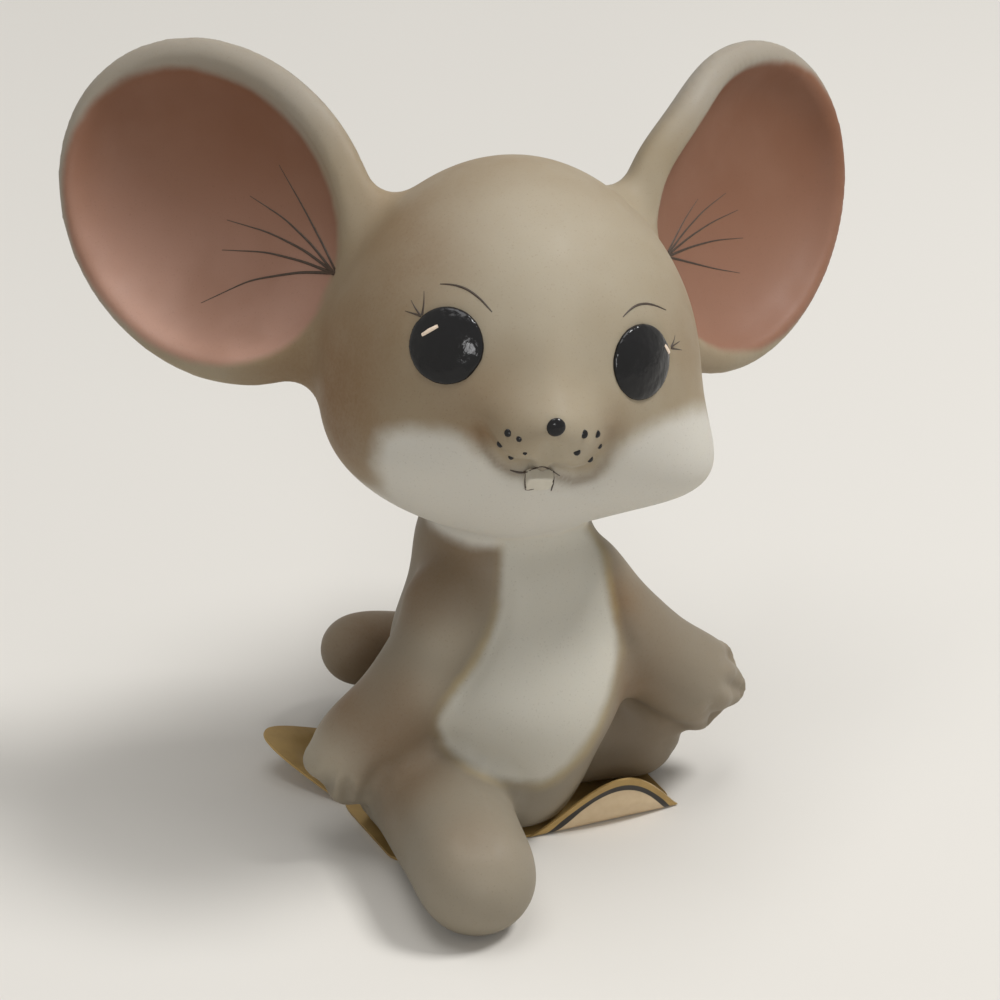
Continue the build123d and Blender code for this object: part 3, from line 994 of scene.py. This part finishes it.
# a polygon whose corners then move to the outline
bpy.ops.mesh.primitive_circle_add(vertices=len(label["outline"]), fill_type="NGON", radius=0.01)
sheet = bpy.context.object
sheet.name = "foilLabel"
sheet.data.name = "foilLabel"
for vertex, spot in zip(sheet.data.vertices, label["outline"]):
    vertex.co = Vector((*spot, 0.0)) * mm
cornerRadius = label["cornerRadius"] * mm
applyModifier(sheet, "BEVEL", affect="VERTICES", width=cornerRadius, segments=label["cornerSteps"])
wake(sheet)
bpy.ops.object.mode_set(mode="EDIT")
bpy.ops.mesh.select_all(action="SELECT")
bpy.ops.mesh.extrude_region_move(TRANSFORM_OT_translate={"value": (0, 0, label["thickness"] * mm)})
bpy.ops.mesh.select_all(action="SELECT")
bpy.ops.mesh.normals_make_consistent(inside=False)
bpy.ops.object.mode_set(mode="OBJECT")
flat = sheet.data.attributes.new("band", "FLOAT", "POINT")
flat.data.foreach_set("value", [0.0] * len(sheet.data.vertices))
joinInto(sheet, [raisedEdge("front"), raisedEdge("corner")])
foilFinish = Finish("goldFoil")
band = foilFinish.mask("band")
goldTone = foilFinish.mix(foilFinish.noise(label["goldNoise"]), *label["gold"])
creamTone = foilFinish.mix(foilFinish.noise(label["creamNoise"]), *label["cream"])
blackEdge = label["goldBand"] + label["blackBand"]
inBlack = foilFinish.ramp(band, label["goldBand"] - label["bandBlur"], label["goldBand"] + label["bandBlur"])
inCream = foilFinish.ramp(band, blackEdge - label["bandBlur"], blackEdge + label["bandBlur"])
foilTone = foilFinish.mix(inBlack, goldTone, label["black"])
foilTone = foilFinish.mix(inCream, foilTone, creamTone)
foilFinish.set(
    Base_Color=foilTone,
    Metallic=foilFinish.ramp(inBlack, 0.0, 1.0, *label["metal"]),
    Roughness=foilFinish.ramp(foilFinish.noise(label["roughNoise"]), *midNoise, *label["rough"]),
)
sheet.data.materials.clear()
sheet.data.materials.append(foilFinish.material)
settle(sheet, "foil_label", "base_label")
wake(sheet)
bpy.ops.object.shade_smooth_by_angle(angle=math.radians(label["smoothAngle"]))
print("label dressed")

# floor and soft light
stageLook = {
    "floor": (srgb(222, 219, 213), srgb(220, 216, 209)),
    "floorNoise": 6.0,
    "floorRough": 0.8,
    "floorSide": 6.0,
    "floorGap": 0.00005,
    "lampAim": (0, 0, 0.035),
    "world": (1.0, 0.99, 0.97, 1.0),
    "worldStrength": 0.25,
    "backdrop": srgb(216, 213, 206),
    "fadeFrom": 0.16,
    "fadeTo": 0.55,
    "lamps": [
        ("keyLamp", (0.41, -0.15, 0.70), (0.20, 0.20), 4.0),
        ("topLamp", (-0.05, 0.05, 0.85), (0.45, 0.45), 2.2),
        ("windowLamp", (-0.22, -0.68, 0.32), (0.16, 0.20), 1.0),
    ],
}


def directRay(tree):
    paths = tree.nodes.new("ShaderNodeLightPath").outputs
    total = paths["Is Camera Ray"]
    for key in ("Is Glossy Ray", "Is Transmission Ray"):
        joined = tree.nodes.new("ShaderNodeMath")
        joined.operation = "MAXIMUM"
        tree.links.new(total, joined.inputs[0])
        tree.links.new(paths[key], joined.inputs[1])
        total = joined.outputs[0]
    return total


bpy.ops.object.select_all(action="DESELECT")
floorLevel = cadBox[0].z - stageLook["floorGap"]
bpy.ops.mesh.primitive_plane_add(size=stageLook["floorSide"], location=(0, 0, floorLevel))
floor = bpy.context.object
floor.name = "floor"
floorFinish = Finish("paleFloor")
floorTone = floorFinish.mix(floorFinish.noise(stageLook["floorNoise"]), *stageLook["floor"])
floorFinish.set(Base_Color=floorTone, Roughness=stageLook["floorRough"])

# the floor fades into the pale backdrop away from the figurine
fromMiddle = floorFinish.add("ShaderNodeVectorMath", operation="LENGTH")
floorFinish.feed(fromMiddle.inputs[0], floorFinish.coords)
fade = floorFinish.ramp(fromMiddle.outputs["Value"], stageLook["fadeFrom"], stageLook["fadeTo"])
haze = floorFinish.add("ShaderNodeEmission")
haze.inputs["Color"].default_value = stageLook["backdrop"]
blend = floorFinish.add("ShaderNodeMixShader")
floorFinish.feed(blend.inputs[0], floorFinish.combine("MULTIPLY", fade, directRay(floorFinish.tree)))
floorFinish.feed(blend.inputs[1], floorFinish.shader.outputs["BSDF"])
floorFinish.feed(blend.inputs[2], haze.outputs["Emission"])
floorFinish.feed(floorFinish.tree.nodes["Material Output"].inputs["Surface"], blend.outputs["Shader"])
floor.data.materials.append(floorFinish.material)
for lampName, lampPlace, lampSize, lampPower in stageLook["lamps"]:
    bpy.ops.object.light_add(type="AREA", location=lampPlace)
    lamp = bpy.context.object
    lamp.name = lampName
    lamp.data.shape = "RECTANGLE"
    lamp.data.size, lamp.data.size_y = lampSize
    lamp.data.energy = lampPower
    aim = Vector(stageLook["lampAim"]) - Vector(lampPlace)
    lamp.rotation_euler = aim.to_track_quat("-Z", "Y").to_euler()
world = bpy.data.worlds.new("softRoom")
scene.world = world
world.use_nodes = True
room = world.node_tree
room.nodes["Background"].inputs["Color"].default_value = stageLook["world"]
room.nodes["Background"].inputs["Strength"].default_value = stageLook["worldStrength"]
backdrop = room.nodes.new("ShaderNodeBackground")
backdrop.inputs["Color"].default_value = stageLook["backdrop"]
pick = room.nodes.new("ShaderNodeMixShader")
room.links.new(directRay(room), pick.inputs[0])
room.links.new(room.nodes["Background"].outputs[0], pick.inputs[1])
room.links.new(backdrop.outputs[0], pick.inputs[2])
room.links.new(pick.outputs[0], room.nodes["World Output"].inputs["Surface"])
print("stage lit")
